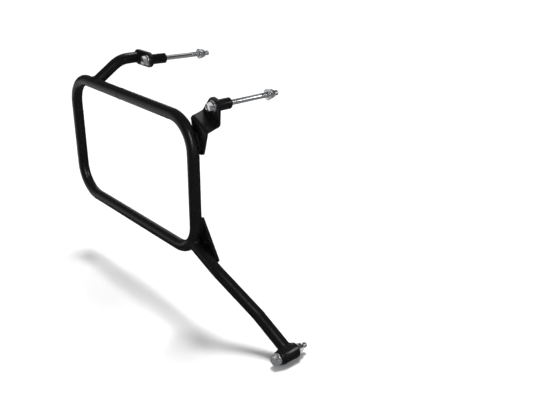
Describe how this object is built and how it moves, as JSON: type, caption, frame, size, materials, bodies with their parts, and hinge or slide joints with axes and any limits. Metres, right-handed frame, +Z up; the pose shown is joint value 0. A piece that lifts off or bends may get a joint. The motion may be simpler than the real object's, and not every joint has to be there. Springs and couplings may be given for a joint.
{
  "type": "pannier frame",
  "caption": "Tubular carrier for one side of a motorcycle: a rounded loop that holds a pannier, with a folded bracket, a bent arm and a strut that bolt to the machine.",
  "frame": {"origin": "on the axis of the front upper bolt, at the inboard end of its spacer, the face that meets the motorcycle", "axes": "+X across, towards the motorcycle, +Y to the motorcycle's rear, +Z up"},
  "size_m": [0.202, 0.547, 0.3534],
  "materials": {
    "powder_coat": "satin black powder coat on mild steel",
    "coated_weld": "weld bead under the same satin black powder coat",
    "spacer_coat": "satin black coat on turned steel",
    "zinc_bolt": "bright zinc plate on rolled steel",
    "zinc_washer": "bright zinc plate on stamped steel",
    "zinc_nut": "bright zinc plate on formed steel",
    "nylon": "plain pale nylon"
  },
  "bodies": {
    "root": {"main_loop": "powder_coat", "loop_butt_weld": "coated_weld", "rear_arm": "powder_coat", "arm_weld": "coated_weld", "rear_lug": "powder_coat", "lug_weld": "coated_weld", "front_bracket": "powder_coat", "bracket_welds": "coated_weld", "gusset": "powder_coat", "gusset_welds": "coated_weld", "lower_strut": "powder_coat", "strut_weld": "coated_weld", "lower_sleeve": "powder_coat", "sleeve_weld": "coated_weld", "front_spacer": "spacer_coat", "rear_spacer": "spacer_coat", "front_bolt": "zinc_bolt", "rear_bolt": "zinc_bolt", "lower_bolt": "zinc_bolt", "front_head_washer": "zinc_washer", "rear_head_washer": "zinc_washer", "lower_head_washer": "zinc_washer", "front_nut_washer": "zinc_washer", "rear_nut_washer": "zinc_washer", "lower_nut_washer": "zinc_washer", "front_lock_nut": "zinc_nut", "rear_lock_nut": "zinc_nut", "lower_lock_nut": "zinc_nut", "nylon_rings": "nylon"}
  },
  "joints": []
}
